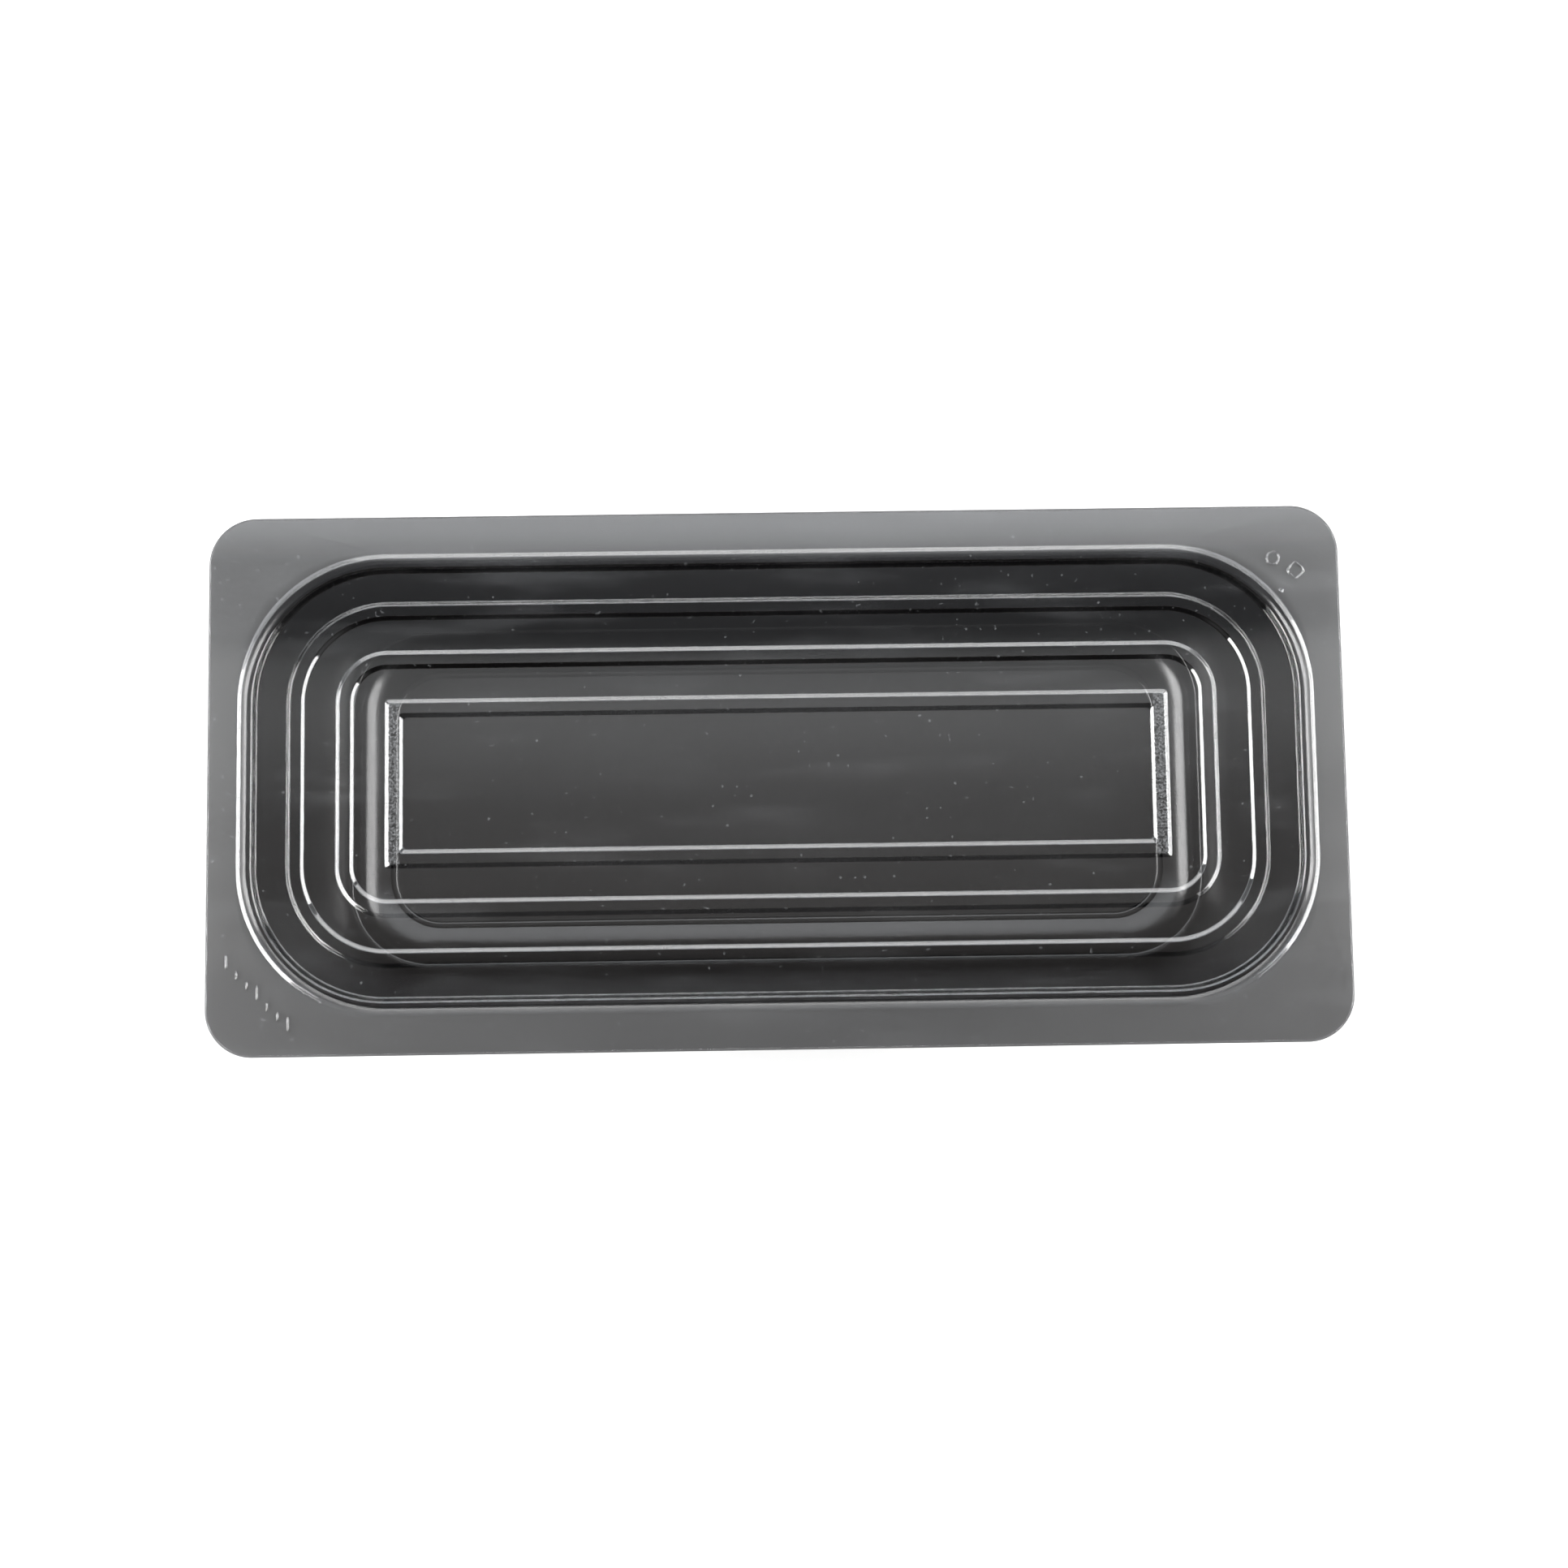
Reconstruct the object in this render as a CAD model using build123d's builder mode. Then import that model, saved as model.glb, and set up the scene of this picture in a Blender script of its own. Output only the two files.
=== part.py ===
"""A five litre deli pan and the ribbed lid that lies in its mouth.

Both are formed from one sheet each. The pan is a deep smooth tub that hangs by its flange, and the lid covers
the flange, drops into the mouth as a shallow plug and is stiffened by concentric raised ribs. Millimetres, +Z
up, +X along the pan, origin under the middle of the base.
"""
import os
from math import atan, cos, degrees, radians, tan

from build123d import *

# Pan, inside faces unless said otherwise
pan_height = 120.0  # base to the flange's top face
pan_sheet = 1.2
pan_flange_x = 180.0  # half lengths and half widths are given as _x and _y throughout
pan_flange_y = 85.0
pan_flange_corner = 15.0
pan_edge_round = 0.7
mouth_x = 167.9
mouth_y = 70.2
mouth_corner = 44.5
mouth_round = 2.4
ledge_z = 15.0
ledge_x = 157.6
ledge_y = 62.2
ledge_corner = 29.5
ledge_step = 1.0
tub_draw = 1.0  # how much the tub below the ledge narrows on its way to the floor, per side
cove_round = 11.5
bead_width = 1.8
bead_height = 0.5
bead_inset = 15.0  # ledge to the middle of the bead round the floor

# Lid
lid_x = 179.4
lid_y = 84.4
lid_corner = 14.4
lid_sheet = 0.6
field_drop = 2.0  # the ribbed field lies this far below the lid's flange
rib_height = 0.8
rib_slope = 0.9  # plan width of a rib's sloping side
rib_pitch = 15.55
rib_width = 4.5  # between the middles of a rib's two sloping sides
rib_count = 4  # the rim counts as the first
rim_x = 169.8
rim_y = 72.2
rib_advance = 0.5  # the ribs inside the rim lie this much further out than whole pitches from it
arc_centre_x = 123.4  # every rib's corner arc has its centre here
least_corner = 1.2
plug_start = 3.9  # from the middle of the rim's outer slope to the top of the wall that drops into the mouth
plug_slope = 1.0  # plan width of that wall, from the rim's top down to the field

# Levels of the lid
lid_under = pan_height
lid_top = lid_under + lid_sheet
rim_top = lid_top + rib_height
field_top = lid_top - field_drop
field_under = field_top - lid_sheet

# Angles from the vertical, and the shift that keeps a sloping sheet as thick as a flat one
rib_angle = degrees(atan(rib_slope / rib_height))
rib_fold_shift = lid_sheet * tan(radians(90 - rib_angle) / 2)
plug_rise = rim_top - field_top
plug_angle = degrees(atan(plug_slope / plug_rise))
plug_wall_width = lid_sheet / cos(radians(plug_angle))


def rib_outline(inward, mode=Mode.ADD):
    """The rim's outline moved inward, with its corner arcs about the ribs' shared centres."""
    half_x = rim_x - inward
    half_y = rim_y - inward
    corner = max(half_x - arc_centre_x, least_corner)
    RectangleRounded(2 * half_x, 2 * half_y, corner, mode=mode)


def pan_outline(half_x, half_y, corner, outward=0.0):
    """A rounded rectangle of the pan, moved outward by a sheet's thickness where it is an outside face."""
    RectangleRounded(2 * (half_x + outward), 2 * (half_y + outward), corner + outward)


# Pan: a tub below the ledge, a tapered wall above it and a flange, hollowed by the same shapes one sheet smaller
tub_x = ledge_x - ledge_step
tub_y = ledge_y - ledge_step
tub_corner = ledge_corner - ledge_step

with BuildPart() as tub_hollow:
    with BuildSketch(Plane.XY.offset(pan_sheet)):
        pan_outline(tub_x - tub_draw, tub_y - tub_draw, tub_corner - tub_draw)
    with BuildSketch(Plane.XY.offset(ledge_z)):
        pan_outline(tub_x, tub_y, tub_corner)
    loft()
    fillet(tub_hollow.faces().sort_by(Axis.Z)[0].edges(), cove_round)

with BuildPart() as wall_hollow:
    with BuildSketch(Plane.XY.offset(ledge_z)):
        pan_outline(ledge_x, ledge_y, ledge_corner)
    with BuildSketch(Plane.XY.offset(pan_height)):
        pan_outline(mouth_x, mouth_y, mouth_corner)
    loft()

with BuildPart() as pan:
    with BuildSketch(Plane.XY):
        pan_outline(tub_x - tub_draw, tub_y - tub_draw, tub_corner - tub_draw, outward=pan_sheet)
    with BuildSketch(Plane.XY.offset(ledge_z - pan_sheet)):
        pan_outline(tub_x, tub_y, tub_corner, outward=pan_sheet)
    loft()
    fillet(pan.faces().sort_by(Axis.Z)[0].edges(), cove_round + pan_sheet)
    with BuildSketch(Plane.XY.offset(ledge_z - pan_sheet)):
        pan_outline(ledge_x, ledge_y, ledge_corner, outward=pan_sheet)
    with BuildSketch(Plane.XY.offset(pan_height - pan_sheet)):
        pan_outline(mouth_x, mouth_y, mouth_corner, outward=pan_sheet)
    loft()
    with BuildSketch(Plane.XY.offset(pan_height - pan_sheet)):
        pan_outline(pan_flange_x, pan_flange_y, pan_flange_corner)
    extrude(amount=pan_sheet)
    flange_under = pan.faces().filter_by(Plane.XY).sort_by(Axis.Z)[-2]
    fillet(flange_under.inner_wires()[0].edges(), mouth_round - pan_sheet)
    add(wall_hollow.part, mode=Mode.SUBTRACT)
    add(tub_hollow.part, mode=Mode.SUBTRACT)
    fillet(pan.faces().sort_by(Axis.Z)[-1].inner_wires()[0].edges(), mouth_round)
    fillet(pan.faces().sort_by(Axis.Z)[-1].outer_wire().edges(), pan_edge_round)
    # the bead round the floor: raised inside, and the same groove under the base
    for level, bead_mode in ((pan_sheet, Mode.ADD), (0.0, Mode.SUBTRACT)):
        with BuildSketch(Plane.XY.offset(level)):
            for side, ring_mode in ((1, Mode.ADD), (-1, Mode.SUBTRACT)):
                half_x = ledge_x - bead_inset + side * bead_width / 2
                half_y = ledge_y - bead_inset + side * bead_width / 2
                corner = ledge_corner - bead_inset + side * bead_width / 2
                RectangleRounded(2 * half_x, 2 * half_y, corner, mode=ring_mode)
        extrude(amount=bead_height, mode=bead_mode)

# Lid: flat flange, raised rim, plug and field, then the ribs pressed up from below
with BuildPart() as lid:
    with BuildSketch(Plane.XY.offset(lid_under)):
        RectangleRounded(2 * lid_x, 2 * lid_y, lid_corner)
    extrude(amount=lid_sheet)
    with BuildSketch(Plane.XY.offset(lid_top)):
        rib_outline(-rib_slope / 2)
    extrude(amount=rib_height, taper=rib_angle)
    with BuildSketch(Plane.XY.offset(lid_under)):
        rib_outline(-rib_slope / 2 + rib_fold_shift)
    extrude(amount=rib_height, taper=rib_angle, mode=Mode.SUBTRACT)
    plug_inset = plug_start + plug_slope
    with BuildSketch(Plane.XY.offset(field_under)):
        rib_outline(plug_inset - plug_wall_width + lid_sheet * tan(radians(plug_angle)))
    extrude(amount=plug_rise, taper=-plug_angle)
    with BuildSketch(Plane.XY.offset(field_top)):
        rib_outline(plug_inset)
    extrude(amount=plug_rise, taper=-plug_angle, mode=Mode.SUBTRACT)
    for level, shift, rib_mode in ((field_top, 0.0, Mode.ADD), (field_under, rib_fold_shift, Mode.SUBTRACT)):
        for i in range(1, rib_count):
            with BuildSketch(Plane.XY.offset(level)):
                rib_start = i * rib_pitch - rib_advance
                rib_outline(rib_start - rib_slope / 2 + shift)
                rib_outline(rib_start + rib_width + rib_slope / 2 - shift, mode=Mode.SUBTRACT)
            extrude(amount=rib_height, taper=rib_angle, mode=rib_mode)

pan.part.label = "pan"
lid.part.label = "lid"
os.makedirs("parts", exist_ok=True)
export_step(pan.part, "parts/pan.step")
export_step(lid.part, "parts/lid.step")
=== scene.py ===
"""Looks of the black deli pan and the clear ribbed lid that lies on it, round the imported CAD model."""

import math

import bpy
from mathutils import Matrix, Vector


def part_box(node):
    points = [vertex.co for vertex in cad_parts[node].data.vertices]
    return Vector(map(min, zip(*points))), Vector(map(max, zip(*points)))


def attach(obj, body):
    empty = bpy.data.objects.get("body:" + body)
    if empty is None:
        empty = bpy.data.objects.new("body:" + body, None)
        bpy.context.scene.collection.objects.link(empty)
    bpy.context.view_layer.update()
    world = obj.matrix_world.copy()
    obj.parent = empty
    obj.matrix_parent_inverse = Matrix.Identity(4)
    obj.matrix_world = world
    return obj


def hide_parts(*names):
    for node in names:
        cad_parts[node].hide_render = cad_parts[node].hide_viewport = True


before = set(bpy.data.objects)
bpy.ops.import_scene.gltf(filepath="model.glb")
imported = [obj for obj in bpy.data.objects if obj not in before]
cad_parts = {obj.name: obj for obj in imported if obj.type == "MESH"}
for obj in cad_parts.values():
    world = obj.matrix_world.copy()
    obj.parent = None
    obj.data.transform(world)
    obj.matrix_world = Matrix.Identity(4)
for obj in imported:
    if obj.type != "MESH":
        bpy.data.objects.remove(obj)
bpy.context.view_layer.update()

MM = 0.001
ARC_STEPS = 24  # faces round one corner of an outline
FOLD_STEPS = 6  # faces round one fold of a sheet
FOLD_SHARE = 0.98  # how much of a run between two folds they may take
NOSE = 0.25  # how far a cut edge bulges past its sheet, in thicknesses


# Sheets. A station is (half length, half width, corner radius, height), all in metres.

def outline(station):
    """The points of a rounded rectangle at its height, starting from the +X +Y corner."""
    half_x, half_y, corner, z = station
    points = []
    for quarter, (side_x, side_y) in enumerate(((1, 1), (-1, 1), (-1, -1), (1, -1))):
        centre_x = side_x * (half_x - corner)
        centre_y = side_y * (half_y - corner)
        for step in range(ARC_STEPS + 1):
            angle = math.pi / 2 * (quarter + step / ARC_STEPS)
            points.append((centre_x + corner * math.cos(angle), centre_y + corner * math.sin(angle), z))
    return points


def blend_stations(a, b, share):
    return tuple(p + (q - p) * share for p, q in zip(a, b))


def run_between(a, b):
    """How far apart two stations are in the sheet's own section along X."""
    return math.hypot(b[0] - a[0], b[3] - a[3])


def turn_at(before, corner, after):
    """The angle by which the sheet's section turns at a station."""
    heading_in = math.atan2(corner[3] - before[3], corner[0] - before[0])
    heading_out = math.atan2(after[3] - corner[3], after[0] - corner[0])
    return abs((heading_out - heading_in + math.pi) % (2 * math.pi) - math.pi)


def folded(stations, radii):
    """The stations with every inner one rounded to its radius, as a sheet folds."""
    corners = list(zip(stations, stations[1:], stations[2:]))
    wanted = [radius * math.tan(turn_at(*corner) / 2) for radius, corner in zip(radii, corners)]
    wanted = [0.0] + wanted + [0.0]
    path = [stations[0]]
    for i, (before, corner, after) in enumerate(corners, 1):
        run_in = run_between(before, corner)
        run_out = run_between(corner, after)
        # two folds that share a short run divide it as their radii ask
        cut = min(
            wanted[i],
            FOLD_SHARE * run_in * wanted[i] / (wanted[i - 1] + wanted[i]),
            FOLD_SHARE * run_out * wanted[i] / (wanted[i] + wanted[i + 1]),
        )
        start = blend_stations(corner, before, cut / run_in)
        end = blend_stations(corner, after, cut / run_out)
        weight = math.cos(turn_at(before, corner, after) / 2)
        for step in range(FOLD_STEPS + 1):
            t = step / FOLD_STEPS
            shares = ((1 - t) ** 2, 2 * weight * t * (1 - t), t ** 2)
            total = sum(shares)
            path.append(tuple(
                sum(share * station[axis] for share, station in zip(shares, (start, corner, end))) / total
                for axis in range(4)
            ))
    path.append(stations[-1])
    return path


def moved_off(path, distance):
    """The path moved square to itself: a positive distance moves a path that runs inward upwards."""
    moved = []
    for i, (half_x, half_y, corner, z) in enumerate(path):
        before = path[max(i - 1, 0)]
        after = path[min(i + 1, len(path) - 1)]
        run = run_between(before, after)
        out = -(after[3] - before[3]) / run * distance
        up = -(after[0] - before[0]) / run * distance
        moved.append((half_x - out, half_y - out, max(corner - out, 0.1 * MM), z + up))
    return moved


def keep_flats_flat(mesh):
    """Shades each point by the area of its faces, so that a wide flat face beside a fold stays flat."""
    normals = [Vector() for _ in mesh.vertices]
    for face in mesh.polygons:
        for index in face.vertices:
            normals[index] += face.normal * face.area
    mesh.normals_split_custom_set_from_vertices([normal.normalized() for normal in normals])


def sheet_mesh(name, path, thickness):
    """A closed sheet of even thickness about a path that runs from its edge inward to its flat middle."""
    top = moved_off(path, thickness / 2)
    under = moved_off(path, -thickness / 2)
    edge_x = path[0][0] - path[1][0]
    edge_z = path[0][3] - path[1][3]
    length = math.hypot(edge_x, edge_z)
    nose_x = edge_x / length * thickness * NOSE
    nose_z = edge_z / length * thickness * NOSE
    nose = [blend_stations(top[0], under[0], share) for share in (0.2, 0.5, 0.8)]
    nose = [(x + nose_x, y + nose_x, r + nose_x, z + nose_z) for x, y, r, z in nose]
    loops = [outline(station) for station in top[::-1] + nose + under]
    count = len(loops[0])
    vertices = [point for loop in loops for point in loop]
    faces = []
    for i in range(len(loops) - 1):
        for j in range(count):
            k = (j + 1) % count
            faces.append((i * count + j, (i + 1) * count + j, (i + 1) * count + k, i * count + k))
    faces.append(tuple(range(count)))
    faces.append(tuple(range(len(vertices) - 1, len(vertices) - 1 - count, -1)))
    mesh = bpy.data.meshes.new(name)
    mesh.from_pydata(vertices, [], faces)
    mesh.shade_smooth()
    keep_flats_flat(mesh)
    piece = bpy.data.objects.new(name, mesh)
    bpy.context.scene.collection.objects.link(piece)
    return piece


# Materials

def socket_set(node, **values):
    for name, value in values.items():
        node.inputs[name.replace("_", " ")].default_value = value


def new_nodes(name):
    """A material with an empty tree, and short forms of the calls that fill it."""
    material = bpy.data.materials.new(name)
    material.use_nodes = True
    material.node_tree.nodes.clear()
    return material, material.node_tree.nodes.new, material.node_tree.links.new


def math_node(new, link, operation, first, second=None, third=None, clamp=False):
    """A Math node whose operands are sockets or numbers; returns its output."""
    node = new("ShaderNodeMath")
    node.operation = operation
    node.use_clamp = clamp
    for index, value in enumerate((first, second, third)):
        if isinstance(value, bpy.types.NodeSocket):
            link(value, node.inputs[index])
        elif value is not None:
            node.inputs[index].default_value = value
    return node.outputs[0]


def ramp_node(new, link, value, low, high, to_low=0.0, to_high=1.0):
    """A smooth step of a value from low to high."""
    node = new("ShaderNodeMapRange")
    node.interpolation_type = "SMOOTHSTEP"
    socket_set(node, From_Min=low, From_Max=high, To_Min=to_low, To_Max=to_high)
    link(value, node.inputs["Value"])
    return node.outputs[0]


def noise_node(new, link, place, scale, stretch=(1, 1, 1), detail=2.0):
    """Noise in the object's own metres, squeezed along each axis by the stretch; returns its value."""
    mapping = new("ShaderNodeMapping")
    socket_set(mapping, Scale=stretch)
    link(place, mapping.inputs["Vector"])
    noise = new("ShaderNodeTexNoise")
    socket_set(noise, Scale=scale, Detail=detail)
    link(mapping.outputs[0], noise.inputs["Vector"])
    return noise.outputs[0]


def band_node(new, link, value, low, high, soft):
    """One where a value lies between low and high, zero outside."""
    rise = ramp_node(new, link, value, low - soft, low)
    fall = ramp_node(new, link, value, high, high + soft, 1.0, 0.0)
    return math_node(new, link, "MULTIPLY", rise, fall)


CLEARNESS = 0.97  # share of light that one face of the clear sheet lets through
MIRROR_AT_RIGHT_ANGLES = 0.04  # share that one face mirrors when seen square on
EDGE_ON_LOSS = 0.7  # darkening of faces seen edge-on, chosen for looks so that the lifted lid shows
UPRIGHT_LOSS = 0.6  # darkening of faces that stand upright, chosen for looks as well


def clear_lid():
    """Thin see-through plastic with dark edges, hazed by wiping, dusty, and frosted on the last rib's ends."""
    material, new, link = new_nodes("clear lid plastic")
    place = new("ShaderNodeTexCoord").outputs["Object"]
    split = new("ShaderNodeSeparateXYZ")
    link(place, split.inputs[0])
    along = math_node(new, link, "ABSOLUTE", split.outputs["X"])
    across = math_node(new, link, "ABSOLUTE", split.outputs["Y"])

    facing = new("ShaderNodeLayerWeight")
    socket_set(facing, Blend=0.5)
    through = new("ShaderNodeBsdfTransparent")
    edge_on = math_node(new, link, "POWER", facing.outputs["Facing"], 2.5)
    clearness = math_node(new, link, "MULTIPLY_ADD", edge_on, -EDGE_ON_LOSS, CLEARNESS)
    normal = new("ShaderNodeSeparateXYZ")
    link(new("ShaderNodeNewGeometry").outputs["Normal"], normal.inputs[0])
    upright = math_node(new, link, "SUBTRACT", 1.0, math_node(new, link, "ABSOLUTE", normal.outputs["Z"]))
    upright = math_node(new, link, "POWER", upright, 8.0)
    clearness = math_node(new, link, "MULTIPLY_ADD", upright, -UPRIGHT_LOSS, clearness, clamp=True)
    link(clearness, through.inputs["Color"])
    mirror = new("ShaderNodeBsdfGlossy")
    socket_set(mirror, Color=(1, 1, 1, 1))
    wiped = noise_node(new, link, place, 1.0, stretch=(18, 90, 90), detail=4.0)
    link(ramp_node(new, link, wiped, 0.4, 0.7, 0.03, 0.07), mirror.inputs["Roughness"])
    steep = math_node(new, link, "POWER", facing.outputs["Facing"], 5.0)
    mirrored = math_node(
        new, link, "MULTIPLY_ADD", steep, 1 - MIRROR_AT_RIGHT_ANGLES, MIRROR_AT_RIGHT_ANGLES
    )
    sheet = new("ShaderNodeMixShader")
    link(mirrored, sheet.inputs[0])
    link(through.outputs[0], sheet.inputs[1])
    link(mirror.outputs[0], sheet.inputs[2])

    frost = new("ShaderNodeBsdfGlossy")
    socket_set(frost, Color=(0.9, 0.92, 0.94, 1), Roughness=0.5)
    rib_end = band_node(new, link, along, FROST_FROM, FROST_TO, 0.4 * MM)
    rib_side = ramp_node(new, link, across, FROST_HALF_WIDTH - MM, FROST_HALF_WIDTH, 1.0, 0.0)
    grit = ramp_node(new, link, noise_node(new, link, place, 1400, detail=1.0), 0.42, 0.62, 0.0, 0.05)
    frosted = math_node(new, link, "MULTIPLY", rib_end, rib_side)
    frosted = math_node(new, link, "MULTIPLY", frosted, grit)
    haze = ramp_node(new, link, wiped, 0.5, 0.8, 0.0, 0.007)
    dust = ramp_node(new, link, noise_node(new, link, place, 650, detail=0.0), 0.8, 0.84, 0.0, 0.03)
    share = math_node(new, link, "ADD", frosted, math_node(new, link, "ADD", haze, dust), clamp=True)
    mix = new("ShaderNodeMixShader")
    link(share, mix.inputs[0])
    link(sheet.outputs[0], mix.inputs[1])
    link(frost.outputs[0], mix.inputs[2])
    link(mix.outputs[0], new("ShaderNodeOutputMaterial").inputs["Surface"])
    return material


WALL_BLACK = (0.005, 0.005, 0.0055, 1)
# painted light: the flange gets a paler colour than the walls of the same black plastic, standing in for the
# light it catches from above
FLANGE_PAINTED_PALER = (0.031, 0.031, 0.0315, 1)
FLANGE_STARTS = 1.1 * MM  # below the flange's top face
FLANGE_FULL = 0.1 * MM


def black_plastic():
    """Glossy black walls, and a duller flange where the sheet was not drawn, whose paler colour is painted
    light standing in for the light the flat flange catches from above.
    """
    material, new, link = new_nodes("black pan plastic")
    shader = new("ShaderNodeBsdfPrincipled")
    socket_set(shader, IOR=1.58)
    place = new("ShaderNodeTexCoord").outputs["Object"]
    split = new("ShaderNodeSeparateXYZ")
    link(place, split.inputs[0])
    height = split.outputs["Z"]
    flange = ramp_node(new, link, height, pan_high.z - FLANGE_STARTS, pan_high.z - FLANGE_FULL)
    cloud = noise_node(new, link, place, 1.0, stretch=(14, 30, 30), detail=3.0)
    # the flange's share of this tone is painted light; the cloud adds a random mottle of the sheet's own tone
    tone = math_node(new, link, "ADD", flange, ramp_node(new, link, cloud, 0.3, 0.7, -0.05, 0.05), clamp=True)
    colour = new("ShaderNodeMix")
    colour.data_type = "RGBA"
    colour.inputs[6].default_value = WALL_BLACK
    colour.inputs[7].default_value = FLANGE_PAINTED_PALER
    link(tone, colour.inputs["Factor"])
    link(colour.outputs[2], shader.inputs["Base Color"])
    dull = ramp_node(new, link, flange, 0.0, 1.0, 0.21, 0.46)
    worn = ramp_node(new, link, cloud, 0.3, 0.7, -0.03, 0.03)
    link(math_node(new, link, "ADD", dull, worn), shader.inputs["Roughness"])
    bump = new("ShaderNodeBump")
    socket_set(bump, Strength=0.06, Distance=0.02 * MM)
    link(noise_node(new, link, place, 900, detail=2.0), bump.inputs["Height"])
    link(bump.outputs[0], shader.inputs["Normal"])
    link(shader.outputs[0], new("ShaderNodeOutputMaterial").inputs["Surface"])
    return material


# Lid

lid_low, lid_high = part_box("lid")
pan_low, pan_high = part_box("pan")
LID_SHEET = 0.55 * MM  # a hair thinner than the CAD sheet, so that it doesn't lie in the pan flange's face
RIB_HEIGHT = 0.8 * MM
RIB_SLOPE = 1.1 * MM
RIB_WIDTH = 4.5 * MM
RIB_PITCH = 15.55 * MM
RIB_COUNT = 4
RIM_X = 169.8 * MM
RIM_Y = 72.2 * MM
RIB_ADVANCE = 0.5 * MM  # the ribs inside the rim lie this much further out than whole pitches from it
ARC_CENTRE_X = 123.4 * MM
FIELD_DROP = 2.0 * MM
PLUG_INSET = 3.9 * MM  # rim to the top of the wall that drops into the mouth
PLUG_SLOPE = 1.0 * MM
LID_FOLD = 0.6 * MM
LID_CORNER = 14.4 * MM
LEAST_CORNER = 1.2 * MM
flange_mid = lid_high.z - RIB_HEIGHT - LID_SHEET / 2
field_mid = flange_mid - FIELD_DROP
last_rib = RIM_X - (RIB_COUNT - 1) * RIB_PITCH + RIB_ADVANCE
FROST_FROM = last_rib - RIB_WIDTH + RIB_SLOPE / 2
FROST_TO = last_rib - RIB_SLOPE / 2
FROST_HALF_WIDTH = last_rib - RIM_X + RIM_Y


def rib_station(inward, z):
    half_x = RIM_X - inward
    return (half_x, RIM_Y - inward, max(half_x - ARC_CENTRE_X, LEAST_CORNER), z)


def build_lid():
    inset = NOSE * LID_SHEET
    ramp = RIB_SLOPE / 2
    stations = [
        (lid_high.x - inset, lid_high.y - inset, LID_CORNER - inset, flange_mid),
        rib_station(-ramp, flange_mid),
        rib_station(ramp, flange_mid + RIB_HEIGHT),
        rib_station(PLUG_INSET, flange_mid + RIB_HEIGHT),
        rib_station(PLUG_INSET + PLUG_SLOPE, field_mid),
    ]
    for i in range(1, RIB_COUNT):
        start = i * RIB_PITCH - RIB_ADVANCE
        stations.append(rib_station(start - ramp, field_mid))
        stations.append(rib_station(start + ramp, field_mid + RIB_HEIGHT))
        stations.append(rib_station(start + RIB_WIDTH - ramp, field_mid + RIB_HEIGHT))
        stations.append(rib_station(start + RIB_WIDTH + ramp, field_mid))
    stations.append(rib_station(start + RIB_WIDTH + 3 * ramp, field_mid))
    return sheet_mesh("lid_sheet", folded(stations, [LID_FOLD] * (len(stations) - 2)), LID_SHEET)


# Plain raised marks on the lid's flange: a scale of strokes in one corner, two outlines and a dot in another

MARK_WIDTH = 0.8 * MM
MARK_HEIGHT = 0.45 * MM
MARK_SIDES = 10
STROKES = 7
LONG_EVERY = 3
SCALE_START = (-173.2, -56.0)  # mm
SCALE_END = (-153.8, -75.4)
STROKE_FOOT = 1.5 * MM  # below the row's line
LONG_STROKE = 4.6 * MM
SHORT_STROKE = 2.8 * MM
lid_flange_top = flange_mid + LID_SHEET / 2


def raised_line(mesh_data, path, closed):
    """Adds a flattened tube along a path on the flange, half sunk in the sheet."""
    vertices, faces = mesh_data
    first = len(vertices)
    count = len(path)
    for i, point in enumerate(path):
        before = path[i - 1] if closed or i else point
        after = path[(i + 1) % count] if closed or i < count - 1 else point
        heading = (after - before).normalized()
        side = Vector((-heading.y, heading.x, 0))
        size = 1.0 if closed or 0 < i < count - 1 else 0.45
        for k in range(MARK_SIDES):
            angle = 2 * math.pi * k / MARK_SIDES
            spread = side * (math.cos(angle) * size * MARK_WIDTH / 2)
            vertices.append(point + spread + Vector((0, 0, math.sin(angle) * size * MARK_HEIGHT)))
    for i in range(count if closed else count - 1):
        for k in range(MARK_SIDES):
            a = first + i * MARK_SIDES
            b = first + (i + 1) % count * MARK_SIDES
            n = (k + 1) % MARK_SIDES
            faces.append((a + k, a + n, b + n, b + k))
    if not closed:
        end = first + (count - 1) * MARK_SIDES
        faces.append(tuple(range(first + MARK_SIDES - 1, first - 1, -1)))
        faces.append(tuple(range(end, end + MARK_SIDES)))


def marks_piece(name, paths):
    mesh_data = ([], [])
    for path, closed in paths:
        raised_line(mesh_data, path, closed)
    mesh = bpy.data.meshes.new(name)
    mesh.from_pydata(mesh_data[0], [], mesh_data[1])
    mesh.shade_smooth()
    piece = bpy.data.objects.new(name, mesh)
    bpy.context.scene.collection.objects.link(piece)
    return piece


def flange_point(x, y):
    return Vector((x * MM, y * MM, lid_flange_top))


def build_scale_marks():
    """Seven strokes side by side in a slanting row, every third one longer."""
    start = flange_point(*SCALE_START)
    end = flange_point(*SCALE_END)
    stroke = Vector((0, 1, 0))
    paths = []
    for i in range(STROKES):
        foot = start.lerp(end, i / (STROKES - 1)) - stroke * STROKE_FOOT
        tip = foot + stroke * (SHORT_STROKE if i % LONG_EVERY else LONG_STROKE)
        path = [foot.lerp(tip, share) for share in (0.0, 0.06, 0.5, 0.94, 1.0)]
        paths.append((path, False))
    return marks_piece("lid_scale_marks", paths)


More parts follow.
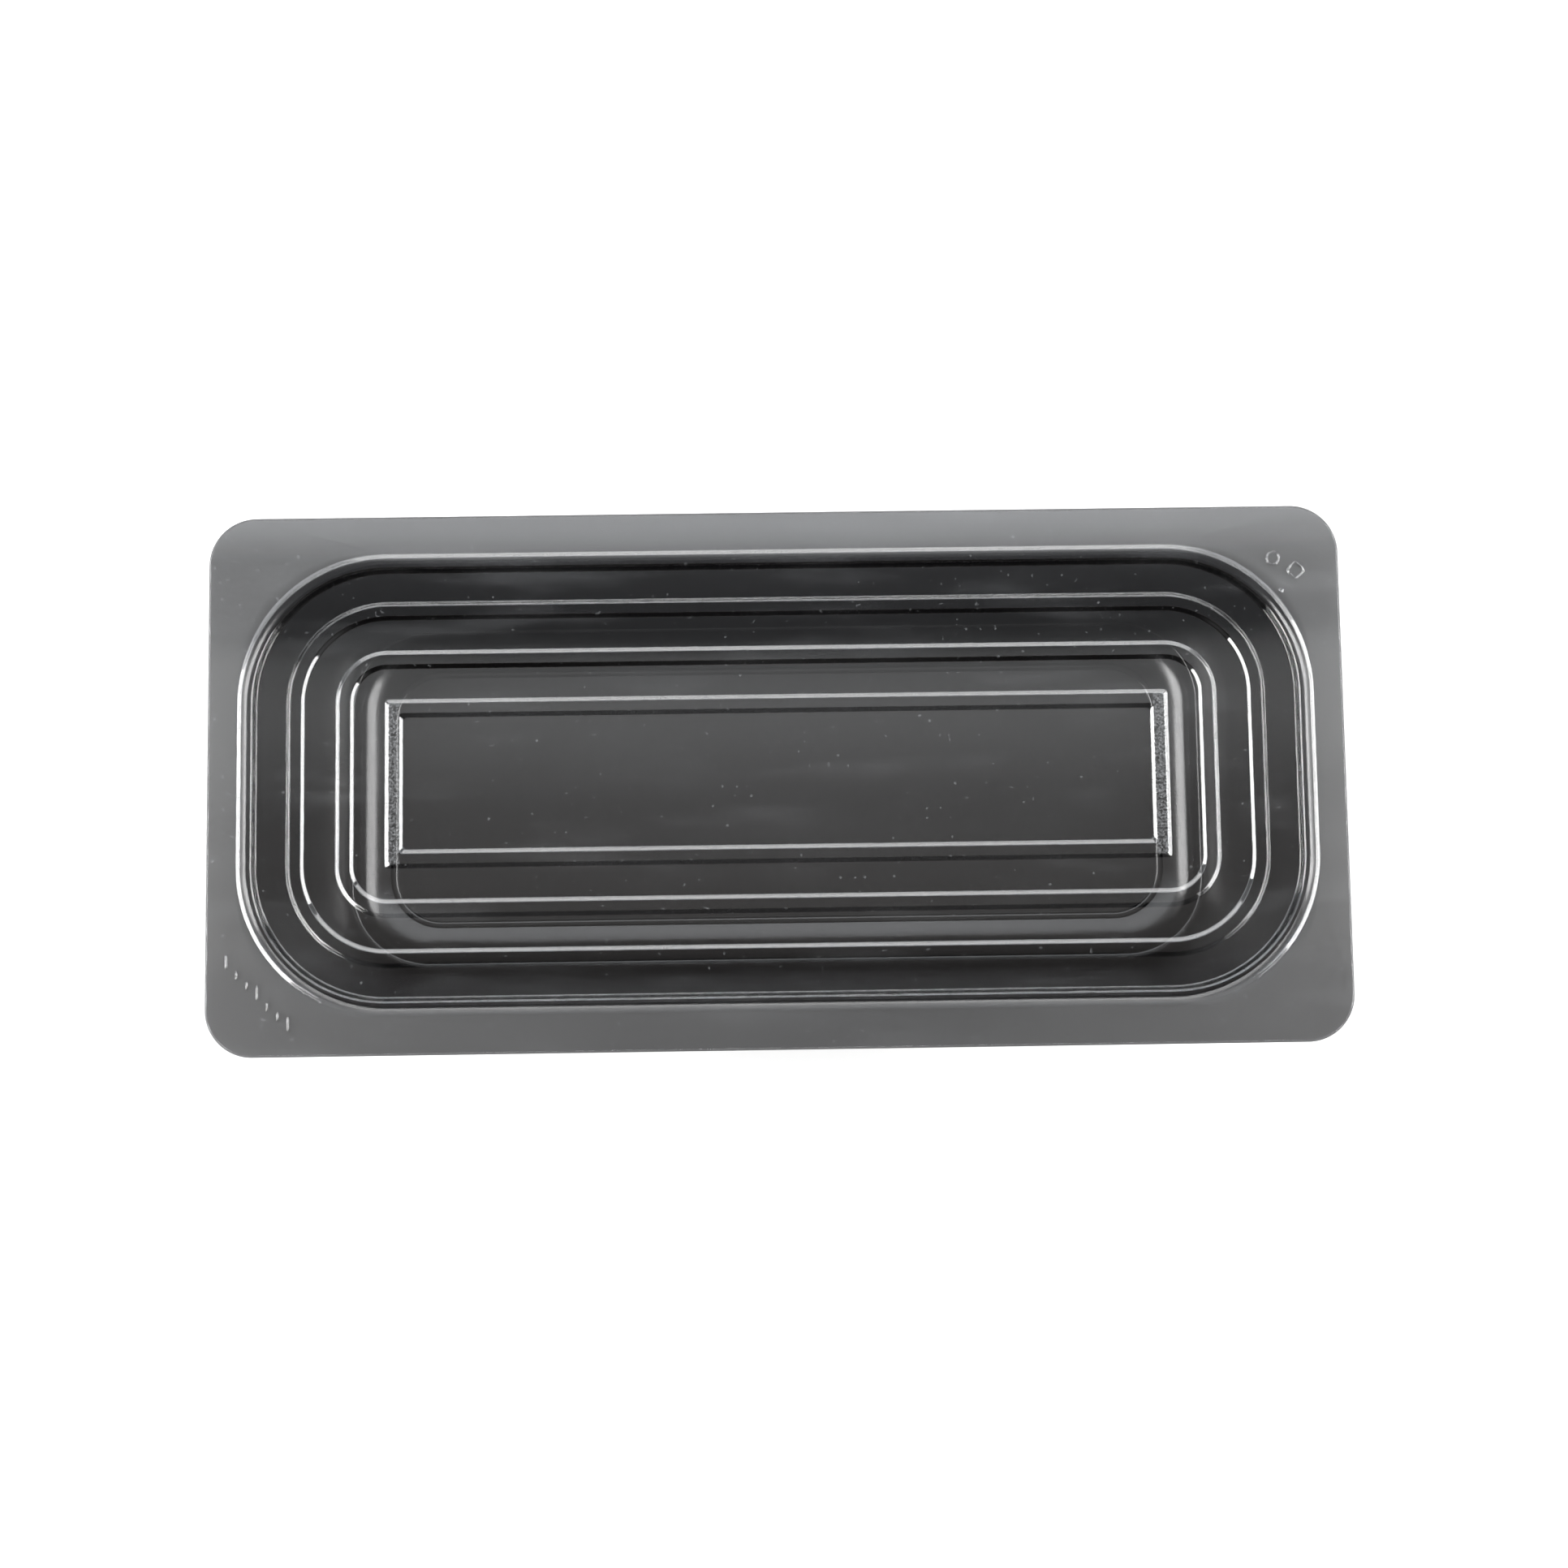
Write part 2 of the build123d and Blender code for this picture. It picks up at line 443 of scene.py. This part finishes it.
def build_shape_marks():
    """A ring, a square set on its corner and a dot."""
    paths = []
    for centre, radius, corners in (
        (flange_point(158.9, 68.0), 2.0 * MM, 28),
        (flange_point(166.0, 64.0), 2.9 * MM, 4),
        (flange_point(161.2, 57.6), 0.5 * MM, 12),
    ):
        ring = []
        for i in range(corners):
            angle = 2 * math.pi * i / corners
            ring.append(centre + Vector((math.cos(angle), math.sin(angle), 0)) * radius)
        if corners == 4:
            ring = [a.lerp(b, share) for a, b in zip(ring, ring[1:] + ring[:1]) for share in (0.12, 0.5, 0.88)]
        paths.append((ring, True))
    return marks_piece("lid_shape_marks", paths)


# Pan

PAN_SHEET = 1.2 * MM
PAN_CORNER = 15 * MM
BEAD_HEIGHT = 0.6 * MM


def build_pan():
    """One sheet: flange, mouth, wall, ledge, wall, cove, floor with a bead round it."""
    half_sheet = PAN_SHEET / 2
    top = pan_high.z - half_sheet
    floor = pan_low.z + half_sheet
    inset = NOSE * PAN_SHEET
    stations = [
        (pan_high.x - inset, pan_high.y - inset, PAN_CORNER - inset, top),
        (168.2 * MM, 70.5 * MM, 44.8 * MM, top),
        (158.0 * MM, 62.4 * MM, 29.8 * MM, 14.5 * MM),
        (156.9 * MM, 61.3 * MM, 28.7 * MM, 14.45 * MM),
        (156.5 * MM, 60.0 * MM, 28.3 * MM, floor + 5.4 * MM),
        (149.7 * MM, 53.2 * MM, 22.3 * MM, floor + 0.85 * MM),
        (145.2 * MM, 48.2 * MM, 19.0 * MM, floor),
        (144.6 * MM, 47.6 * MM, 18.4 * MM, floor + BEAD_HEIGHT),
        (143.6 * MM, 46.6 * MM, 17.4 * MM, floor + BEAD_HEIGHT),
        (143.0 * MM, 46.0 * MM, 16.8 * MM, floor),
        (140.0 * MM, 43.0 * MM, 13.8 * MM, floor),
    ]
    radii = [2.4 * MM, 0.25 * MM, 0.3 * MM, 7.0 * MM, 18.0 * MM, 0.7 * MM, 0.7 * MM, 0.7 * MM, 0.7 * MM]
    return sheet_mesh("pan_shell", folded(stations, radii), PAN_SHEET)


lid_plastic = clear_lid()
pan_plastic = black_plastic()

lid_sheet = build_lid()
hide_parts("lid")
for piece in (lid_sheet, build_scale_marks(), build_shape_marks()):
    piece.data.materials.append(lid_plastic)
    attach(piece, "lid")

pan_shell = build_pan()
pan_shell.data.materials.append(pan_plastic)
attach(pan_shell, "pan")
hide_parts("pan")


# Stage: pale floor, soft lights at the left, the right and the far side, camera almost straight above

FLOOR_HALF = 3.0
# painted shade and light on the floor: paler near the pan to fill its shadow, darker under the lights, paler
# again far out
FLOOR_PAINTED_TONES = ((0.09, 0.42), (0.14, 0.32), (0.25, 0.14), (0.37, 0.19), (0.45, 0.28), (0.65, 0.5))
WALL_TONE = (0.45, 0.45, 0.45, 1)
DIMMED = (0.2, 0.2, 0.2, 1)
CEILING = (  # place from the near horizon, 0, through the zenith, 0.5, to the far one, 1; then the colour
    (0.43, (0.04, 0.035, 0.03)),
    (0.474, (0.08, 0.07, 0.065)),
    (0.486, (0.34, 0.325, 0.315)),
    (0.515, (0.42, 0.41, 0.405)),
    (0.545, (0.86, 0.86, 0.865)),
    (0.555, (0.80, 0.81, 0.82)),
    (0.564, (0.20, 0.205, 0.215)),
    (0.579, (0.28, 0.285, 0.30)),
    (0.60, (2.9, 3.0, 3.1)),
    (0.72, (3.0, 3.1, 3.2)),
    (0.96, (2.0, 2.1, 2.2)),
    (1.0, (1.0, 1.0, 1.0)),
)
LIGHTS = (  # name, place, length, width and power
    ("left softbox", (-0.95, -0.19, 0.54), 1.15, 0.94, 52),
    ("right softbox", (0.95, -0.03, 0.54), 1.2, 0.94, 45),
    ("far softbox", (0.0, 0.85, 0.5), 1.8, 0.6, 14),
    ("far reflector", (0.0, 1.05, 0.6), 3.4, 0.7, 11),
)
LIT_POINT = Vector((0, 0, 0.1))
CAMERA_PLACE = (-3.2 * MM, -31.6 * MM, 720.6 * MM)  # its distance to the flange, 600 mm, is assumed
CAMERA_TURN = (4.792, -0.442, -0.825)  # degrees
CAMERA_LENS = 43.7
CAMERA_SHIFT_Y = -0.0415


def set_ramp(ramp, stops):
    """Replaces a colour ramp's two stops with these."""
    for place, colour in stops:
        ramp.elements.new(place).color = (*colour, 1)
    ramp.elements.remove(ramp.elements[0])
    ramp.elements.remove(ramp.elements[-1])


def build_floor():
    """A pale floor whose colour holds painted shade and light: toned down under the lights against
    overexposure, paler close to the pan where it fills the pan's shadow, and paler far out where the light
    falls off; low views show this as grey bands.
    """
    mesh = bpy.data.meshes.new("floor")
    corners = [(x * FLOOR_HALF, y * FLOOR_HALF, 0) for x, y in ((-1, -1), (1, -1), (1, 1), (-1, 1))]
    mesh.from_pydata(corners, [], [(0, 1, 2, 3)])
    piece = bpy.data.objects.new("floor", mesh)
    bpy.context.scene.collection.objects.link(piece)
    material = bpy.data.materials.new("pale floor")
    material.use_nodes = True
    shader = material.node_tree.nodes["Principled BSDF"]
    socket_set(shader, Roughness=0.7)
    new = material.node_tree.nodes.new
    link = material.node_tree.links.new
    away = new("ShaderNodeVectorMath")
    away.operation = "LENGTH"
    link(new("ShaderNodeTexCoord").outputs["Object"], away.inputs[0])
    tone = new("ShaderNodeValToRGB")
    set_ramp(tone.color_ramp, [(place, (grey, grey, grey)) for place, grey in FLOOR_PAINTED_TONES])
    link(math_node(new, link, "DIVIDE", away.outputs["Value"], FLOOR_HALF), tone.inputs[0])
    link(tone.outputs[0], shader.inputs["Base Color"])
    mesh.materials.append(material)


def build_lights():
    for name, place, length, width, power in LIGHTS:
        light = bpy.data.lights.new(name, "AREA")
        light.shape = "RECTANGLE"
        light.size = length
        light.size_y = width
        light.energy = power
        lamp = bpy.data.objects.new(name, light)
        lamp.location = place
        lamp.rotation_euler = (LIT_POINT - Vector(place)).to_track_quat("-Z", "Y").to_euler()
        bpy.context.scene.collection.objects.link(lamp)


def build_camera():
    data = bpy.data.cameras.new("camera")
    data.lens = CAMERA_LENS
    data.sensor_width = 36
    data.shift_y = CAMERA_SHIFT_Y
    data.clip_start = 0.01
    camera = bpy.data.objects.new("camera", data)
    camera.location = CAMERA_PLACE
    camera.rotation_euler = [math.radians(angle) for angle in CAMERA_TURN]
    bpy.context.scene.collection.objects.link(camera)
    bpy.context.scene.camera = camera


def build_world():
    """A ceiling darkest on the near side, with a paler patch just past the camera, over pale walls."""
    world = bpy.data.worlds.new("studio")
    world.use_nodes = True
    new = world.node_tree.nodes.new
    link = world.node_tree.links.new
    direction = new("ShaderNodeTexCoord")
    split = new("ShaderNodeSeparateXYZ")
    link(direction.outputs["Generated"], split.inputs[0])
    room = new("ShaderNodeValToRGB")
    room.color_ramp.interpolation = "EASE"
    set_ramp(room.color_ramp, CEILING)
    link(math_node(new, link, "MULTIPLY_ADD", split.outputs["Y"], 0.5, 0.5), room.inputs[0])
    dim = new("ShaderNodeMix")
    dim.data_type = "RGBA"
    dim.blend_type = "MULTIPLY"
    dim.inputs[7].default_value = DIMMED
    link(band_node(new, link, split.outputs["Z"], 0.3, 0.65, 0.12), dim.inputs["Factor"])
    link(room.outputs[0], dim.inputs[6])
    walls = new("ShaderNodeMix")
    walls.data_type = "RGBA"
    walls.blend_type = "ADD"
    walls.inputs[7].default_value = WALL_TONE
    low = ramp_node(new, link, split.outputs["Z"], 0.35, 0.75, 1.0, 0.0)
    low = math_node(new, link, "MULTIPLY", low, ramp_node(new, link, split.outputs["Y"], -0.85, -0.7))
    horizon = ramp_node(new, link, split.outputs["Z"], 0.1, 0.25, 1.7, 0.0)
    walls.clamp_factor = False
    link(math_node(new, link, "MAXIMUM", low, horizon), walls.inputs["Factor"])
    link(dim.outputs[2], walls.inputs[6])
    link(walls.outputs[2], world.node_tree.nodes["Background"].inputs["Color"])
    bpy.context.scene.world = world


build_floor()
build_world()
build_camera()
build_lights()
bpy.context.scene.view_settings.view_transform = "Standard"
